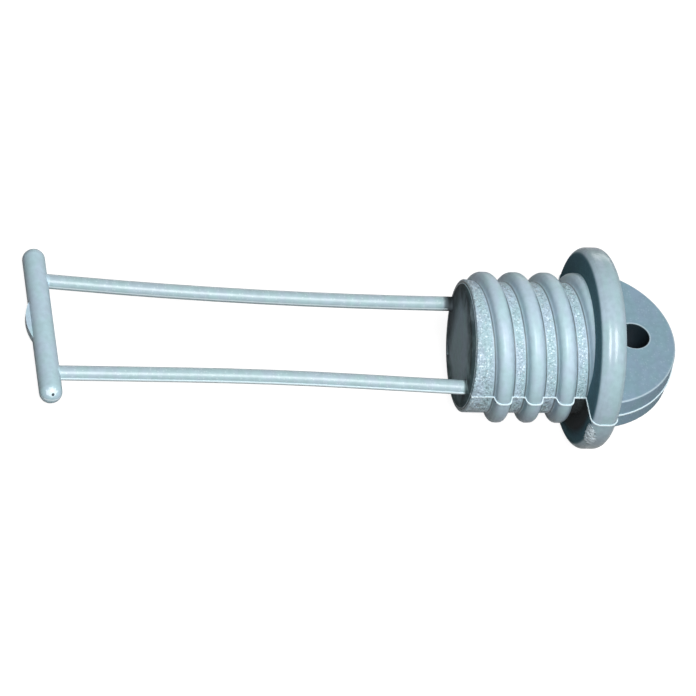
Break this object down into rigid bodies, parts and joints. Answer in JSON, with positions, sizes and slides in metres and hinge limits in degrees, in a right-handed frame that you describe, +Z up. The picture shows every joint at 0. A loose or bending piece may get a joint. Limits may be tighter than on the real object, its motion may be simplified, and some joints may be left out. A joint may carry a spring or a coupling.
{
  "type": "boat drain plug",
  "caption": "Captive screw-in boat drain plug: coarse-threaded barrel, round-edged flange, half-round finger tab with lanyard hole, long legs ending in a cross bar.",
  "frame": {"origin": "middle of the plug's bounding box, on the surface it lies on", "axes": "+X along the plug's length towards the finger tab, +Y along the cross bar towards its far end, +Z up; the plug lies on its cross bar and the lower edge of its flange"},
  "size_m": [0.1018, 0.035, 0.0318],
  "materials": {
    "plug_plastic": "soft blue-grey moulded plastic with a light satin sheen"
  },
  "bodies": {
    "root": {"drain_plug": "plug_plastic"}
  },
  "joints": []
}
